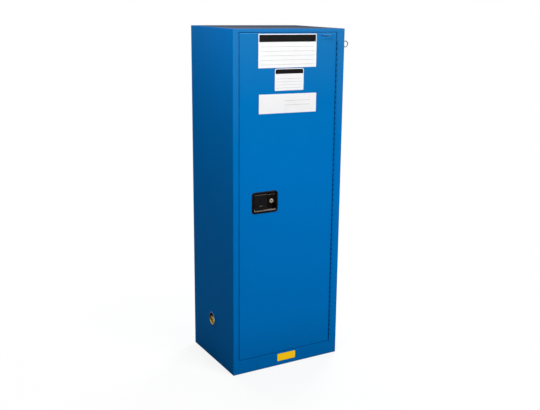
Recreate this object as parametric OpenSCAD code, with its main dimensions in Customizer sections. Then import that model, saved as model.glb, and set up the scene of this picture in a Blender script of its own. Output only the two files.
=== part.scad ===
// Tall one-door steel safety cabinet for bottles of laboratory reagents.
// A double-wall body of folded sheet with an air gap all round, an inset double-wall door on
// a continuous hinge, a recessed paddle that draws three bolts, a vent with a plug on each
// side, lift-off shelves with trays, a leakproof sump and four levelling feet.
// Frame: origin on the floor under the middle of the body, X to the viewer's right,
// Y to the back, Z up. Millimetres.

/* [Body] */
// Width over the outer side panels
body_w = 590.55; // [560:0.05:800]
// Depth from the front face to the back panel
body_d = 457.2; // [420:0.1:650]
// Height of the top above the floor
body_h = 1651; // [1500:1:1900]
// Thickness of the outer sheet
outer_t = 1.2; // [0.9:0.1:1.6]
// Thickness of the inner sheet
inner_t = 1.2; // [0.9:0.1:1.6]
// Air gap between the outer and the inner sheet
air_gap = 38.1; // [37:0.1:42]
// Outside radius of the folded body edges
edge_r = 3; // [2:0.5:5]
// Height of the base above the floor with the feet screwed in
foot_drop = 0; // [0:0.5:8]

/* [Door frame] */
// Width of the frame on the latch side
stile_latch = 30; // [26:1:36]
// Width of the frame on the hinge side
stile_hinge = 43; // [40:1:50]
// Height of the frame above the door
rail_top = 17; // [16:0.5:24]
// Height of the frame below the door
rail_bottom = 70; // [60:1:80]
// Outside radius of the fold round the door opening
jamb_r = 2.5; // [2:0.5:4]
// Depth of the leakproof sump
sump_depth = 50.8; // [40:0.1:60]

/* [Door] */
// Gap between the door and the frame
door_gap = 2; // [1.5:0.5:3]
// Gap between the closed door and its stop
stop_gap = 1.5; // [1:0.5:3]
// Outside radius of the folded door edges
door_r = 2.5; // [2:0.5:4]
// Length of the flange round the inner door panel
door_flange = 12; // [8:1:20]

/* [Hinge] */
// Thickness of a hinge leaf
leaf_t = 1.2; // [1:0.1:1.4]
// Width of a hinge leaf
leaf_w = 24; // [18:1:30]
// Gap between the two leaves of the closed hinge
leaf_play = 0.8; // [0.6:0.1:1.2]
// Outside radius of the knuckles
barrel_r = 2.6; // [2.4:0.1:3]
// Distance from the front face to the hinge axis
barrel_out = 2.2; // [2:0.1:3]
// Radius of the hinge pin
hinge_pin_r = 1.2; // [1:0.1:1.4]
// Distance from one knuckle of a leaf to the next
knuckle_pitch = 25.4; // [20:0.1:40]
// Least length of door left bare at each end of the hinge
hinge_margin = 28; // [20:1:60]

/* [Paddle handle] */
// Distance from the free edge of the door to the middle of the handle
handle_inset = 134; // [110:1:180]
// Distance of the middle of the handle below the middle of the door
handle_drop = 1; // [-150:1:150]
// Width of the black surround
bezel_w = 139; // [135:1:160]
// Height of the black surround
bezel_h = 104; // [100:1:120]
// Corner radius of the surround
bezel_r = 15; // [12:1:20]
// Thickness of the surround in front of the door
bezel_t = 2.6; // [2:0.2:4]
// Width of the rim round the recess
bezel_rim = 9; // [8:0.5:12]
// Depth of the recess behind the door face
cup_depth = 18; // [16:0.5:19]
// Wall thickness of the recess
cup_wall = 2; // [1.5:0.5:2.5]
// Width of the paddle plate
paddle_w = 64; // [58:1:66]
// Height of the paddle plate
paddle_h = 69; // [60:1:72]
// Thickness of the paddle plate
paddle_t = 3; // [2.5:0.5:3.5]
// Angle that the paddle swings out
paddle_turn = 35; // [25:1:35]

/* [Latch] */
// Radius of the three bolts
bolt_r = 5; // [4:0.5:5.5]
// Distance that a thrown bolt stands out of the door edge
bolt_reach = 10; // [8:0.5:11]
// Distance from the cam pivot to the middle of each drive pin
cam_arm = 24; // [22:1:26]
// Angle that the cam turns when the paddle is pulled
cam_turn = 36; // [30:1:38]
// Thickness of the cam plate
cam_t = 3; // [2:0.5:3]
// Radius of the drive pins on the cam
drive_pin_r = 2.5; // [2:0.25:3]
// Radius of the lock cylinder
lock_r = 9.5; // [8:0.5:10.5]
// Radius of the turning key plug
plug_r = 6; // [5:0.5:7]

/* [Vents] */
// Height of the vent on the left side above the floor
vent_low_z = 216; // [180:1:300]
// Distance of the vent on the right side below the top
vent_high_drop = 216; // [212:1:300]
// Distance of both vents behind the middle of the body
vent_y = 5; // [-40:1:40]
// Radius of the vent bore
vent_bore_r = 27.5; // [22:0.5:30]
// Wall thickness of the vent socket
vent_wall = 2; // [1.5:0.5:3]
// Depth of the plug's face inside the socket
plug_recess = 9; // [6:0.5:12]
// Length of the vent plug
vent_plug_len = 14; // [10:1:16]

/* [Shelves] */
// Number of slots below the slot of the lowest shelf
first_shelf_step = 5; // [4:1:6]
// Number of slots from one shelf to the next
shelf_spacing_steps = 7; // [5:1:7]
// Distance between the shelf slots
slot_pitch = 57.15; // [50:0.05:58]
// Height of the lowest slots above the sump
first_slot_gap = 60; // [50:1:80]
// Thickness of the shelf sheet
shelf_t = 1.2; // [1:0.1:1.6]
// Height of the shelf flanges
shelf_flange = 25.4; // [20:0.1:30]
// Gap in front of a shelf and behind it
shelf_gap = 8.75; // [5:0.25:30]
// Gap between a shelf and each side wall
shelf_play = 3.2; // [2.5:0.1:6]
// Height of a shelf tray
tray_h = 38; // [25:1:60]
// Wall thickness of the trays
tray_t = 3; // [2:0.5:4]

/* [Feet] */
// Radius of the foot pads
foot_r = 15; // [12:0.5:18]
// Radius of the threaded stems
stem_r = 5; // [4:0.5:6]
// Distance of each foot from the sides, front and back of the body
foot_inset = 50; // [40:1:80]

/* [Labels and small parts] */
// Thickness of the labels
label_t = 0.3; // [0.2:0.1:0.5]
// Width of the two wide door labels
wide_label_w = 306; // [250:1:320]
// Height of the header label
header_label_h = 152; // [120:1:160]
// Radius of the hold-open ring to the middle of its wire
eye_ring_r = 13.7; // [11:0.1:18]
// Radius of the wire of the hold-open ring
eye_wire_r = 2.3; // [1.5:0.1:3]
// Distance of the hold-open ring below the top
eye_drop = 73.5; // [50:0.5:200]
// Width of the hold-open tab on the door
tab_w = 46; // [30:1:60]
// Distance that the hold-open tab stands out of the door
tab_reach = 13; // [8:1:20]

/* [Hidden] */
$fn = 48;

// Colours
blue = "#0b6fb8";
inner_blue = "#0b66a8";
black = "#1b1b1d";
steel = "#b9bcbf";
zinc = "#a9adb0";
brass = "#b48a3c";
white = "#f2f2f0";
yellow = "#f2b91c";
natural = "#e9e6dc";

// Clearances
over = 1;            // how far a cutting shape runs past what it cuts
run_fit = 0.05;      // radial clearance of a pin that turns in its bore
slide_fit = 0.1;     // radial clearance of a bolt in its guides
loose_fit = 0.3;     // clearance between pieces that move past each other
bolt_hole_play = 1;  // radial clearance of a bolt in the strikes and the door edge

// Body planes
base_z = foot_drop;
front_y = -body_d / 2;
back_y = body_d / 2;
open_x0 = -body_w / 2 + stile_latch;
open_x1 = body_w / 2 - stile_hinge;
open_z0 = base_z + rail_bottom;
open_z1 = body_h - rail_top;

// Door planes
door_depth = air_gap + outer_t + inner_t;
hinge_gap = 2 * leaf_t + leaf_play;
door_x0 = open_x0 + door_gap;
door_x1 = open_x1 - hinge_gap;
door_z0 = open_z0 + door_gap;
door_z1 = open_z1 - door_gap;
stop_y = front_y + door_depth + stop_gap;

// Inner box planes: wall_x, rear_y, floor_z and ceil_z are the faces next to the air gap
wall_x = body_w / 2 - outer_t - air_gap;
rear_y = back_y - outer_t - air_gap;
floor_z = base_z + outer_t + air_gap;
ceil_z = body_h - outer_t - air_gap;
room_x = wall_x - inner_t;
room_y0 = stop_y + inner_t;
room_y1 = rear_y - inner_t;
room_mid_y = (room_y0 + room_y1) / 2;
room_z1 = ceil_z - inner_t;
sump_z = floor_z + inner_t;
sump_top = sump_z + sump_depth;
ledge_x0 = min(open_x0 - outer_t, -wall_x);
ledge_x1 = max(open_x1 + outer_t, wall_x);

// Hinge
hinge_x = open_x1 - hinge_gap / 2;
hinge_y = front_y - barrel_out;
knuckle_gap = 0.2;
knuckle_len = knuckle_pitch / 2 - knuckle_gap;
knuckle_n = floor((door_z1 - door_z0 - 2 * hinge_margin) / knuckle_pitch);
hinge_len = knuckle_n * knuckle_pitch;
hinge_z0 = (door_z0 + door_z1 - hinge_len) / 2;
knuckle_bore_r = hinge_pin_r + run_fit;
hinge_pin_end = 1.5;

// Handle, in its own frame: x and z from the middle of the surround, y from the door face
handle_x = door_x0 + handle_inset;
handle_z = (door_z0 + door_z1) / 2 - handle_drop;
cup_w = bezel_w - 2 * bezel_rim;
cup_h = bezel_h - 2 * bezel_rim;
cup_r = 8;
cup_back = cup_depth + cup_wall;
bezel_step = 2;
bezel_step_t = 1.2;
cutout_play = 0.5;
paddle_x0 = -54;
paddle_x1 = paddle_x0 + paddle_w;
paddle_z0 = -31;
paddle_y = 0.5;
paddle_pin_in = 2.6;
paddle_pin_x = paddle_x0 + paddle_pin_in;
paddle_pin_y = 7;
paddle_pin_r = 1.5;
paddle_knuckle_r = 3.4;
paddle_knuckle_len = 15;
paddle_knuckle_in = 2;
spring_wire = 1;
spring_gap = 3;
grip_w = 16;
grip_h = 5;
grip_z = -22;
grip_out = 1;
lock_x = 36.6;
lock_z = 3.4;
boss_from_paddle = 6;
boss_wall = 3;
boss_x0 = paddle_x1 + boss_from_paddle;
boss_x1 = cup_w / 2 - cup_wall;
boss_z0 = lock_z - lock_r - boss_wall;
boss_z1 = 34;
boss_y = 3;
lock_proud = 1.5;
lock_behind = 1;
lock_back = cup_back + lock_behind;
key_proud = 2.5;
keyway_w = 1.6;
keyway_h = 8.4;
tongue_t = 2;

// Latch, in the handle's frame
cam_y = 25;
ear_t = 3;
ear_h = 6;
ear_end = cam_y - 2 * loose_fit;
lug_r = 3;
lug_wall = 1;
ear_play = 0.5;
ear_reach = ear_end - paddle_pin_y;
half_turn = cam_turn / 2;
lug_arm = ear_reach * sin(paddle_turn) / (2 * sin(half_turn));
cam_x = paddle_pin_x + ear_t / 2 + lug_r + ear_play + lug_arm * sin(half_turn);
lug_x = -lug_arm * sin(half_turn);
lug_z = lug_arm * cos(half_turn);
upper_knuckle_z0 = lug_z - ear_h;
upper_knuckle_z1 = paddle_z0 + paddle_h - paddle_knuckle_in;
lower_knuckle_z0 = paddle_z0 + paddle_knuckle_in;
lower_knuckle_z1 = lower_knuckle_z0 + paddle_knuckle_len;
pivot_r = 5;
pivot_head_r = 8;
pivot_head_t = 1.6;
pivot_collar_r = 7;
rod_y = 31;
link_t = 5;
link_wall = 3;
link_slot_play = 0.8;
link_slot_run = 1.6;
pin_near = cam_arm * sin(half_turn);
pin_far = cam_arm * cos(half_turn);
bolt_travel = 2 * pin_near;
cam_hub_r = 13;
cam_waist = 2;
latch_plate_t = 2;
latch_plate_y = rod_y + bolt_r + 2 * loose_fit;
latch_screw_in = 7;
latch_screw_x = cup_w / 2 - latch_screw_in;
latch_screw_z = cup_h / 2 - latch_screw_in;
latch_screw_r = 2;
latch_head_r = 3.6;
latch_head_t = 0.6;
guide_w = 22;
guide_h = 14;
guide_clear = 40;
strike_t = 2.5;
strike_w = 40;
strike_d = 20;
cam_world_x = handle_x + cam_x;
rod_world_y = front_y + rod_y;
top_rod_x = cam_world_x + pin_far;
bottom_rod_x = cam_world_x - pin_far;
side_rod_z = handle_z + pin_far;

// Vents: profile heights are measured outwards from the face of the side panel
vent_out_r = vent_bore_r + vent_wall;
vent_depth = outer_t + air_gap + inner_t;
vent_high_z = body_h - vent_high_drop;
collar_w = 6;
collar_r = vent_out_r + collar_w;
collar_bead_r = 2.5;
collar_t = 2;
socket_hole_r = vent_out_r + slide_fit;
plug_bar_w = 11;
plug_bar_t = 7;
plug_bar_in = 2;
arrester_t = 4;
arrester_rim = 3;
arrester_bar = 1.2;
arrester_pitch = 6.5;

// Shelves
slot_h = 16;
slot_w = 6;
slot_dy = 120;
slot_z0 = sump_top + first_slot_gap;
slot_n = floor((room_z1 - slot_z0 - slot_h) / slot_pitch) + 1;
clip_t = 1.5;
clip_w = 24;
clip_h = 24;
clip_ledge = 13;
clip_hook = 3;
clip_rise = 13;
shelf_w = 2 * (room_x - shelf_play);
shelf_d = room_y1 - room_y0 - 2 * shelf_gap;
shelf_hem = 12;
tray_inset = 5;
tray_rim = 3;
tray_r = 12;
sump_tray_h = 45;
sump_tray_gap = 3;

// Feet
foot_pad_h = 9;
foot_hole_play = 1.5;
socket_wall = 2;
socket_top = 4;
socket_h = 20;
stem_gap = 2;
stem_top = floor_z - stem_gap;

// Labels, small parts
label_x = -15;
header_gap = 4;
middle_label_w = 153;
middle_label_h = 101;
middle_label_x = -5.5;
middle_label_r = 9;
middle_gap = 4;
lower_label_h = 89;
lower_label_x = -11;
lower_gap = 15;
lower_tilt = 0.5;
sticker_w = 102;
sticker_h = 38;
sticker_z = 42;
label_corner = 2;
header_z = door_z1 - header_gap - header_label_h / 2;
middle_z = header_z - header_label_h / 2 - middle_gap - middle_label_h / 2;
lower_z = middle_z - middle_label_h / 2 - lower_gap - lower_label_h / 2;
eye_z = body_h - eye_drop;
eye_back = 22;
eye_gap = 4;
eye_shank_r = 3;
eye_shank_len = 14;
washer_r = 7;
washer_t = 1.5;
nut_r = 5.8;
nut_t = 5;
ground_z = 120;
ground_from_back = 60;
tab_t = 1.6;
tab_h = 15;
tab_from_hinge = 35;
tab_from_top = 10;
tab_hole_r = 3.2;

// Block between two opposite corners.
module span(low, high) {
    translate(low) cube(high - low);
}

// Rectangle with round corners, centred.
module round_rect(w, h, r) {
    square([w - 2 * r, h], center = true);
    square([w, h - 2 * r], center = true);
    for (sx = [-1, 1], sy = [-1, 1])
        translate([sx * (w / 2 - r), sy * (h / 2 - r)]) circle(r);
}

// Solid with a round-cornered outline, standing across Y from y0 to y1.
module plate_xz(w, h, r, y0, y1) {
    translate([0, y1, 0]) rotate([90, 0, 0]) linear_extrude(y1 - y0) round_rect(w, h, r);
}

// Shaft along Y from y0 to y1.
module shaft_y(r, y0, y1) {
    translate([0, y1, 0]) rotate([90, 0, 0]) cylinder(h = y1 - y0, r = r);
}

// Shaft along X from x0 to x1.
module shaft_x(r, x0, x1) {
    translate([x0, 0, 0]) rotate([0, 90, 0]) cylinder(h = x1 - x0, r = r);
}

// Shaft along Z from z0 to z1.
module shaft_z(r, z0, z1) {
    translate([0, 0, z0]) cylinder(h = z1 - z0, r = r);
}

// ---------- Outer body ----------

// Body block with every edge folded to a radius, drawn in by inset.
module body_block(inset) {
    w = body_w - 2 * inset;
    d = body_d - 2 * inset;
    h = body_h - base_z - 2 * inset;
    r = edge_r - inset;
    translate([0, 0, (body_h + base_z) / 2]) intersection() {
        linear_extrude(h + over, center = true) round_rect(w, d, r);
        rotate([90, 0, 0]) linear_extrude(d + over, center = true) round_rect(w, h, r);
        rotate([90, 0, 90]) linear_extrude(w + over, center = true) round_rect(d, h, r);
    }
}

// Closed sheet skin of the body, before it is parted into its panels.
module body_skin() {
    difference() {
        body_block(0);
        body_block(outer_t);
    }
}

// Fold in plan: the face lies along -X, the flat return runs back along +Y.
module fold(reach) {
    translate([-jamb_r, jamb_r]) intersection() {
        difference() {
            circle(jamb_r);
            circle(jamb_r - outer_t);
        }
        translate([0, -jamb_r]) square(jamb_r);
    }
    translate([-outer_t, jamb_r]) square([outer_t, reach - jamb_r]);
}

// Return along the latch side of the opening.
module jamb_return() {
    linear_extrude(open_z1 - open_z0) fold(stop_y - front_y);
}

// Return along the top of the opening.
module header_return() {
    rotate([0, 90, 0]) linear_extrude(open_x1 - open_x0) fold(stop_y - front_y);
}

module left_side() {
    color(blue) difference() {
        union() {
            intersection() {
                body_skin();
                span([-body_w / 2 - over, front_y - over, base_z + edge_r],
                    [open_x0 - jamb_r, back_y - edge_r, body_h - edge_r]);
            }
            translate([open_x0, front_y, open_z0]) jamb_return();
        }
        translate([0, vent_y, vent_low_z])
            shaft_x(socket_hole_r, -body_w / 2 - over, -body_w / 2 + outer_t + over);
        translate([0, rod_world_y, side_rod_z])
            shaft_x(bolt_r + bolt_hole_play, open_x0 - outer_t - over, open_x0 + over);
    }
}

module right_side() {
    color(blue) difference() {
        union() {
            intersection() {
                body_skin();
                span([open_x1 + jamb_r, front_y - over, base_z + edge_r],
                    [body_w / 2 + over, back_y - edge_r, body_h - edge_r]);
            }
            translate([open_x1, front_y, open_z0]) mirror([1, 0, 0]) jamb_return();
        }
        translate([0, vent_y, vent_high_z])
            shaft_x(socket_hole_r, body_w / 2 - outer_t - over, body_w / 2 + over);
        translate([0, front_y + eye_back, eye_z])
            shaft_x(eye_shank_r, body_w / 2 - outer_t - over, body_w / 2 + over);
        translate([0, back_y - ground_from_back, ground_z])
            shaft_x(eye_shank_r, body_w / 2 - outer_t - over, body_w / 2 + over);
    }
}

module top_panel() {
    color(blue) difference() {
        union() {
            intersection() {
                body_skin();
                union() {
                    span([-body_w, -body_d, body_h - edge_r], [body_w, body_d, body_h + over]);
                    span([open_x0 - jamb_r, front_y - over, open_z1 + jamb_r],
                        [open_x1 + jamb_r, front_y + outer_t + over, body_h]);
                }
            }
            translate([open_x0, front_y, open_z1]) header_return();
        }
        translate([top_rod_x, rod_world_y, 0])
            shaft_z(bolt_r + bolt_hole_play, open_z1 - over, open_z1 + outer_t + over);
    }
}

module base_panel() {
    color(blue) difference() {
        union() {
            intersection() {
                body_skin();
                union() {
                    span([-body_w, -body_d, base_z - over], [body_w, body_d, base_z + edge_r]);
                    span([open_x0 - jamb_r, front_y - over, base_z],
                        [open_x1 + jamb_r, front_y + outer_t + over, open_z0 - jamb_r]);
                }
            }
            translate([open_x0, front_y, open_z0]) mirror([0, 0, 1]) header_return();
        }
        translate([bottom_rod_x, rod_world_y, 0])
            shaft_z(bolt_r + bolt_hole_play, open_z0 - outer_t - over, open_z0 + over);
        at_feet() shaft_z(foot_r + foot_hole_play, base_z - over, base_z + outer_t + over);
    }
}

module back_panel() {
    color(blue) intersection() {
        body_skin();
        span([-body_w, back_y - edge_r, base_z + edge_r], [body_w, back_y + over, body_h - edge_r]);
    }
}

// ---------- Inner box ----------

// Shelf slots through the left inner wall, one column near the front and one near the back.
module wall_slots() {
    for (column = [-1, 1], step = [0 : slot_n - 1])
        translate([-wall_x - over, room_mid_y + column * slot_dy - slot_w / 2,
            slot_z0 + step * slot_pitch - slot_h / 2])
            cube([inner_t + 2 * over, slot_w, slot_h]);
}

// Inner wall, drawn on the left, with its front ledge, which reaches to the jamb.
module inner_wall(ledge_low, ledge_high, vent_z) {
    difference() {
        union() {
            span([-wall_x, room_y0, floor_z], [-room_x, room_y1, room_z1]);
            span([ledge_low, stop_y, sump_top], [ledge_high, room_y0, room_z1]);
        }
        wall_slots();
        translate([0, vent_y, vent_z])
            shaft_x(socket_hole_r, -wall_x - over, -room_x + over);
    }
}

module inner_left_wall() {
    color(inner_blue) inner_wall(ledge_x0, max(open_x0, -room_x), vent_low_z);
}

module inner_right_wall() {
    color(inner_blue) mirror([1, 0, 0])
        inner_wall(-ledge_x1, max(-open_x1, -room_x), vent_high_z);
}

module inner_back_wall() {
    color(inner_blue) span([-wall_x, room_y1, floor_z], [wall_x, rear_y, room_z1]);
}

module inner_ceiling() {
    color(inner_blue) {
        span([-wall_x, stop_y, room_z1], [wall_x, rear_y, ceil_z]);
        span([ledge_x0, stop_y, room_z1], [ledge_x1, room_y0, open_z1 + outer_t]);
    }
}

module sump_pan() {
    color(inner_blue) {
        span([-room_x, room_y0, floor_z], [room_x, room_y1, sump_z]);
        span([ledge_x0, stop_y, floor_z], [ledge_x1, room_y0, sump_top]);
        span([-room_x, room_y1 - inner_t, floor_z], [room_x, room_y1, sump_top]);
        for (side = [0, 1])
            mirror([side, 0, 0])
                span([room_x - inner_t, room_y0, floor_z], [room_x, room_y1, sump_top]);
    }
}

// ---------- Door ----------

// Plan of a block whose two front corners are folded to a radius, front along Y = 0.
module front_round(w, d, r) {
    translate([-w / 2, r]) square([w, d - r]);
    translate([r - w / 2, 0]) square([w - 2 * r, d]);
    for (side = [-1, 1])
        translate([side * (w / 2 - r), r]) circle(r);
}

// Door block, drawn in by inset at the front and the four edges, and run out behind.
module door_block(inset, behind) {
    w = door_x1 - door_x0 - 2 * inset;
    h = door_z1 - door_z0 - 2 * inset;
    d = door_depth - inset + behind;
    r = door_r - inset;
    translate([(door_x0 + door_x1) / 2, front_y + inset, (door_z0 + door_z1) / 2])
        intersection() {
            linear_extrude(h, center = true) front_round(w, d, r);
            rotate([90, 0, 90]) rotate([0, 0, -90]) mirror([1, 0, 0])
                linear_extrude(w, center = true) front_round(h, d, r);
        }
}

module door_outer_skin() {
    color(blue) difference() {
        door_block(0, 0);
        door_block(outer_t, over);
        at_handle() plate_xz(cup_w + 2 * cutout_play, cup_h + 2 * cutout_play,
            cup_r + cutout_play, -over, outer_t + over);
        translate([top_rod_x, rod_world_y, 0])
            shaft_z(bolt_r + bolt_hole_play, door_z1 - outer_t - over, door_z1 + over);
        translate([bottom_rod_x, rod_world_y, 0])
            shaft_z(bolt_r + bolt_hole_play, door_z0 - over, door_z0 + outer_t + over);
        translate([0, rod_world_y, side_rod_z])
            shaft_x(bolt_r + bolt_hole_play, door_x0 - over, door_x0 + outer_t + over);
    }
}

// Inner door panel: a flat sheet with a flange turned forward inside the outer skin.
module door_inner_skin() {
    low = [door_x0 + outer_t, front_y + door_depth - inner_t - door_flange, door_z0 + outer_t];
    high = [door_x1 - outer_t, front_y + door_depth, door_z1 - outer_t];
    in = [inner_t, 0, inner_t];
    color(inner_blue) difference() {
        span(low, high);
        span(low + in - [0, over, 0], high - in - [0, inner_t, 0]);
        translate([top_rod_x, rod_world_y, 0])
            shaft_z(bolt_r + bolt_hole_play, high[2] - inner_t - over, high[2] + over);
        translate([bottom_rod_x, rod_world_y, 0])
            shaft_z(bolt_r + bolt_hole_play, low[2] - over, low[2] + inner_t + over);
        translate([0, rod_world_y, side_rod_z])
            shaft_x(bolt_r + bolt_hole_play, low[0] - over, low[0] + inner_t + over);
    }
}

// ---------- Hinge ----------

// Knuckle with the strap that joins it to its leaf, in plan, on the -X side of the axis.
module knuckle() {
    difference() {
        union() {
            circle(barrel_r);
            translate([-hinge_gap / 2, 0]) square([leaf_t, barrel_r + loose_fit]);
        }
        circle(knuckle_bore_r);
    }
}

// Leaf on the -X side of the axis, with a knuckle in every pitch from first on.
module hinge_leaf(first) {
    for (step = [0 : knuckle_n - 1])
        translate([hinge_x, hinge_y, hinge_z0 + first + step * knuckle_pitch])
            linear_extrude(knuckle_len) knuckle();
    translate([hinge_x - hinge_gap / 2, hinge_y + barrel_r + loose_fit, hinge_z0])
        cube([leaf_t, leaf_w, hinge_len]);
}

module door_hinge_leaf() {
    color(blue) hinge_leaf(knuckle_pitch / 2);
}

module frame_hinge_leaf() {
    color(blue) translate([2 * hinge_x, 0, 0]) mirror([1, 0, 0]) hinge_leaf(0);
}

module hinge_pin() {
    color(steel) translate([hinge_x, hinge_y, 0])
        shaft_z(hinge_pin_r, hinge_z0 - hinge_pin_end, hinge_z0 + hinge_len + hinge_pin_end);
}

// ---------- Handle and latch ----------

// Places its children in the handle's frame.
module at_handle() {
    translate([handle_x, front_y, handle_z]) children();
}

// Places its children in the handle's frame, moved to the cam pivot.
module at_cam() {
    at_handle() translate([cam_x, 0, 0]) children();
}

// Four screw places behind the corners of the recess.
module at_latch_screws() {
    for (sx = [-1, 1], sz = [-1, 1])
        translate([sx * latch_screw_x, 0, sz * latch_screw_z]) children();
}

module handle_bezel() {
    color(black) at_handle() difference() {
        union() {
            plate_xz(bezel_w, bezel_h, bezel_r, -bezel_step_t, 0);
            plate_xz(bezel_w - 2 * bezel_step, bezel_h - 2 * bezel_step,
                bezel_r - bezel_step, -bezel_t, -bezel_step_t);
            difference() {
                plate_xz(cup_w, cup_h, cup_r, -over, cup_back);
                plate_xz(cup_w - 2 * cup_wall, cup_h - 2 * cup_wall, cup_r - cup_wall,
                    -over - over, cup_depth);
            }
            span([boss_x0, boss_y, boss_z0], [boss_x1, cup_depth, boss_z1]);
            at_latch_screws() shaft_y(latch_screw_r + cup_wall, cup_back, latch_plate_y);
        }
        difference() {
            plate_xz(cup_w - 2 * cup_wall, cup_h - 2 * cup_wall, cup_r - cup_wall,
                -bezel_t - over, cup_depth);
            span([boss_x0, boss_y, boss_z0], [boss_x1, cup_depth, boss_z1]);
        }
        translate([paddle_pin_x, paddle_pin_y, 0])
            shaft_z(paddle_pin_r, -cup_h / 2 - over, cup_h / 2 + over);
        translate([lock_x, 0, lock_z]) shaft_y(lock_r, boss_y - over, cup_back + over);
        span([paddle_pin_x - ear_t, cup_depth - over, lug_z - ear_h],
            [paddle_pin_x + ear_reach, cup_back + over, lug_z + ear_h]);
        at_latch_screws() shaft_y(latch_screw_r, cup_back, latch_plate_y + over);
    }
}

module paddle_pin() {
    color(steel) at_handle() translate([paddle_pin_x, paddle_pin_y, 0])
        shaft_z(paddle_pin_r, -cup_h / 2, cup_h / 2);
}

// Sleeve that stands for the small torsion spring round the paddle's pin.
module paddle_return_spring() {
    color(steel) at_handle() translate([paddle_pin_x, paddle_pin_y, 0]) difference() {
        shaft_z(paddle_pin_r + spring_wire, lower_knuckle_z1 + spring_gap,
            upper_knuckle_z0 - spring_gap);
        shaft_z(paddle_pin_r, paddle_z0, paddle_z0 + paddle_h);
    }
}

// Paddle: a plate with two knuckles behind its left edge and an ear on the upper one that
// reaches back to the cam's lug. Fingers reach behind its right edge from the open part of
// the recess.
module paddle() {
    plate_back = paddle_y + paddle_t;
    color(black) at_handle() difference() {
        union() {
            span([paddle_x0, paddle_y, paddle_z0],
                [paddle_x1, plate_back, paddle_z0 + paddle_h]);
            span([paddle_x0 + (paddle_w - grip_w) / 2, paddle_y - grip_out, grip_z],
                [paddle_x0 + (paddle_w + grip_w) / 2, paddle_y, grip_z + grip_h]);
            for (run = [[lower_knuckle_z0, lower_knuckle_z1], [upper_knuckle_z0, upper_knuckle_z1]])
                translate([paddle_pin_x, 0, 0]) {
                    span([0, plate_back, run[0]], [paddle_knuckle_r, paddle_pin_y, run[1]]);
                    translate([0, paddle_pin_y, 0]) shaft_z(paddle_knuckle_r, run[0], run[1]);
                }
            span([paddle_pin_x - ear_t / 2, paddle_pin_y, lug_z - ear_h / 2],
                [paddle_pin_x + ear_t / 2, ear_end, lug_z + ear_h / 2]);
        }
        translate([paddle_pin_x, paddle_pin_y, 0])
            shaft_z(paddle_pin_r + run_fit, paddle_z0, paddle_z0 + paddle_h);
    }
}

module lock_barrel() {
    color(steel) at_handle() translate([lock_x, 0, lock_z]) difference() {
        shaft_y(lock_r, boss_y - lock_proud, lock_back);
        shaft_y(plug_r + run_fit, boss_y - lock_proud - over, lock_back + over);
    }
}

// Key plug with its keyway and the tongue behind the lock.
module key_plug() {
    tongue_y = lock_back + loose_fit;
    color(steel) at_handle() translate([lock_x, 0, lock_z]) difference() {
        union() {
            shaft_y(plug_r, boss_y - key_proud, tongue_y);
            span([-plug_r, tongue_y, -plug_r / 2],
                [2 * plug_r, tongue_y + tongue_t, plug_r / 2]);
        }
        span([-keyway_w / 2, boss_y - key_proud - over, -keyway_h / 2],
            [keyway_w / 2, boss_y + key_proud, keyway_h / 2]);
    }
}

module latch_plate() {
    color(zinc) at_handle() difference() {
        plate_xz(cup_w, cup_h, cup_r, latch_plate_y, latch_plate_y + latch_plate_t);
        at_latch_screws() shaft_y(latch_screw_r, latch_plate_y - over,
            latch_plate_y + latch_plate_t + over);
    }
}

module handle_screws() {
    color(steel) at_handle() at_latch_screws() {
        shaft_y(latch_screw_r, lock_back, latch_plate_y + latch_plate_t);
        shaft_y(latch_head_r, latch_plate_y + latch_plate_t,
            latch_plate_y + latch_plate_t + latch_head_t);
    }
}

module cam_pivot() {
    cam_front = cam_y - loose_fit;
    color(steel) at_cam() {
        shaft_y(pivot_r, cam_front - pivot_head_t, latch_plate_y);
        shaft_y(pivot_head_r, cam_front - pivot_head_t, cam_front);
        shaft_y(pivot_collar_r, cam_y + cam_t + loose_fit, latch_plate_y);
    }
}

// Arm of the cam from the pivot to (x, z), with a round end wider than the arm.
module cam_arm_to(x, z, r) {
    reach = sqrt(x * x + z * z);
    half = r - cam_waist;
    rotate([0, -atan2(z, x), 0]) span([0, cam_y, -half], [reach, cam_y + cam_t, half]);
    translate([x, 0, z]) shaft_y(r, cam_y, cam_y + cam_t);
}

// Cam with three drive pins behind it and the lug in front that the paddle's ear pushes.
module latch_cam() {
    arm_r = drive_pin_r + link_wall;
    pins = [[pin_far, pin_near], [-pin_far, -pin_near], [-pin_near, pin_far]];
    color(zinc) at_cam() difference() {
        union() {
            shaft_y(cam_hub_r, cam_y, cam_y + cam_t);
            for (pin = pins) {
                cam_arm_to(pin[0], pin[1], arm_r);
                translate([pin[0], 0, pin[1]])
                    shaft_y(drive_pin_r, cam_y + cam_t, rod_y + link_t / 2);
            }
            cam_arm_to(lug_x, lug_z, lug_r + lug_wall);
            translate([lug_x, 0, lug_z]) shaft_y(lug_r, cup_back + ear_play, cam_y);
        }
        shaft_y(pivot_r + run_fit, cam_y - over, cam_y + cam_t + over);
    }
}

// Flat link at the inner end of a bolt, with a slot across the bolt for the drive pin. Drawn
// for a bolt that runs up Z, centred on the drive pin.
module bolt_link() {
    slot_w2 = drive_pin_r + link_slot_run;
    slot_h2 = drive_pin_r + link_slot_play;
    difference() {
        span([-slot_w2 - link_wall, -link_t / 2, -slot_h2 - link_wall],
            [slot_w2 + link_wall, link_t / 2, slot_h2 + link_wall]);
        span([-slot_w2, -link_t / 2 - over, -slot_h2], [slot_w2, link_t / 2 + over, slot_h2]);
    }
}

// Bolt up Z from its link to a bullet nose at height reach above the drive pin.
module bolt(reach) {
    link_top = drive_pin_r + link_slot_play + link_wall;
    bolt_link();
    shaft_z(bolt_r, link_top, reach - bolt_r);
    translate([0, 0, reach - bolt_r]) sphere(bolt_r);
}

module top_bolt() {
    color(steel) translate([top_rod_x, rod_world_y, handle_z + pin_near])
        bolt(door_z1 + bolt_reach - handle_z - pin_near);
}

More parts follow.
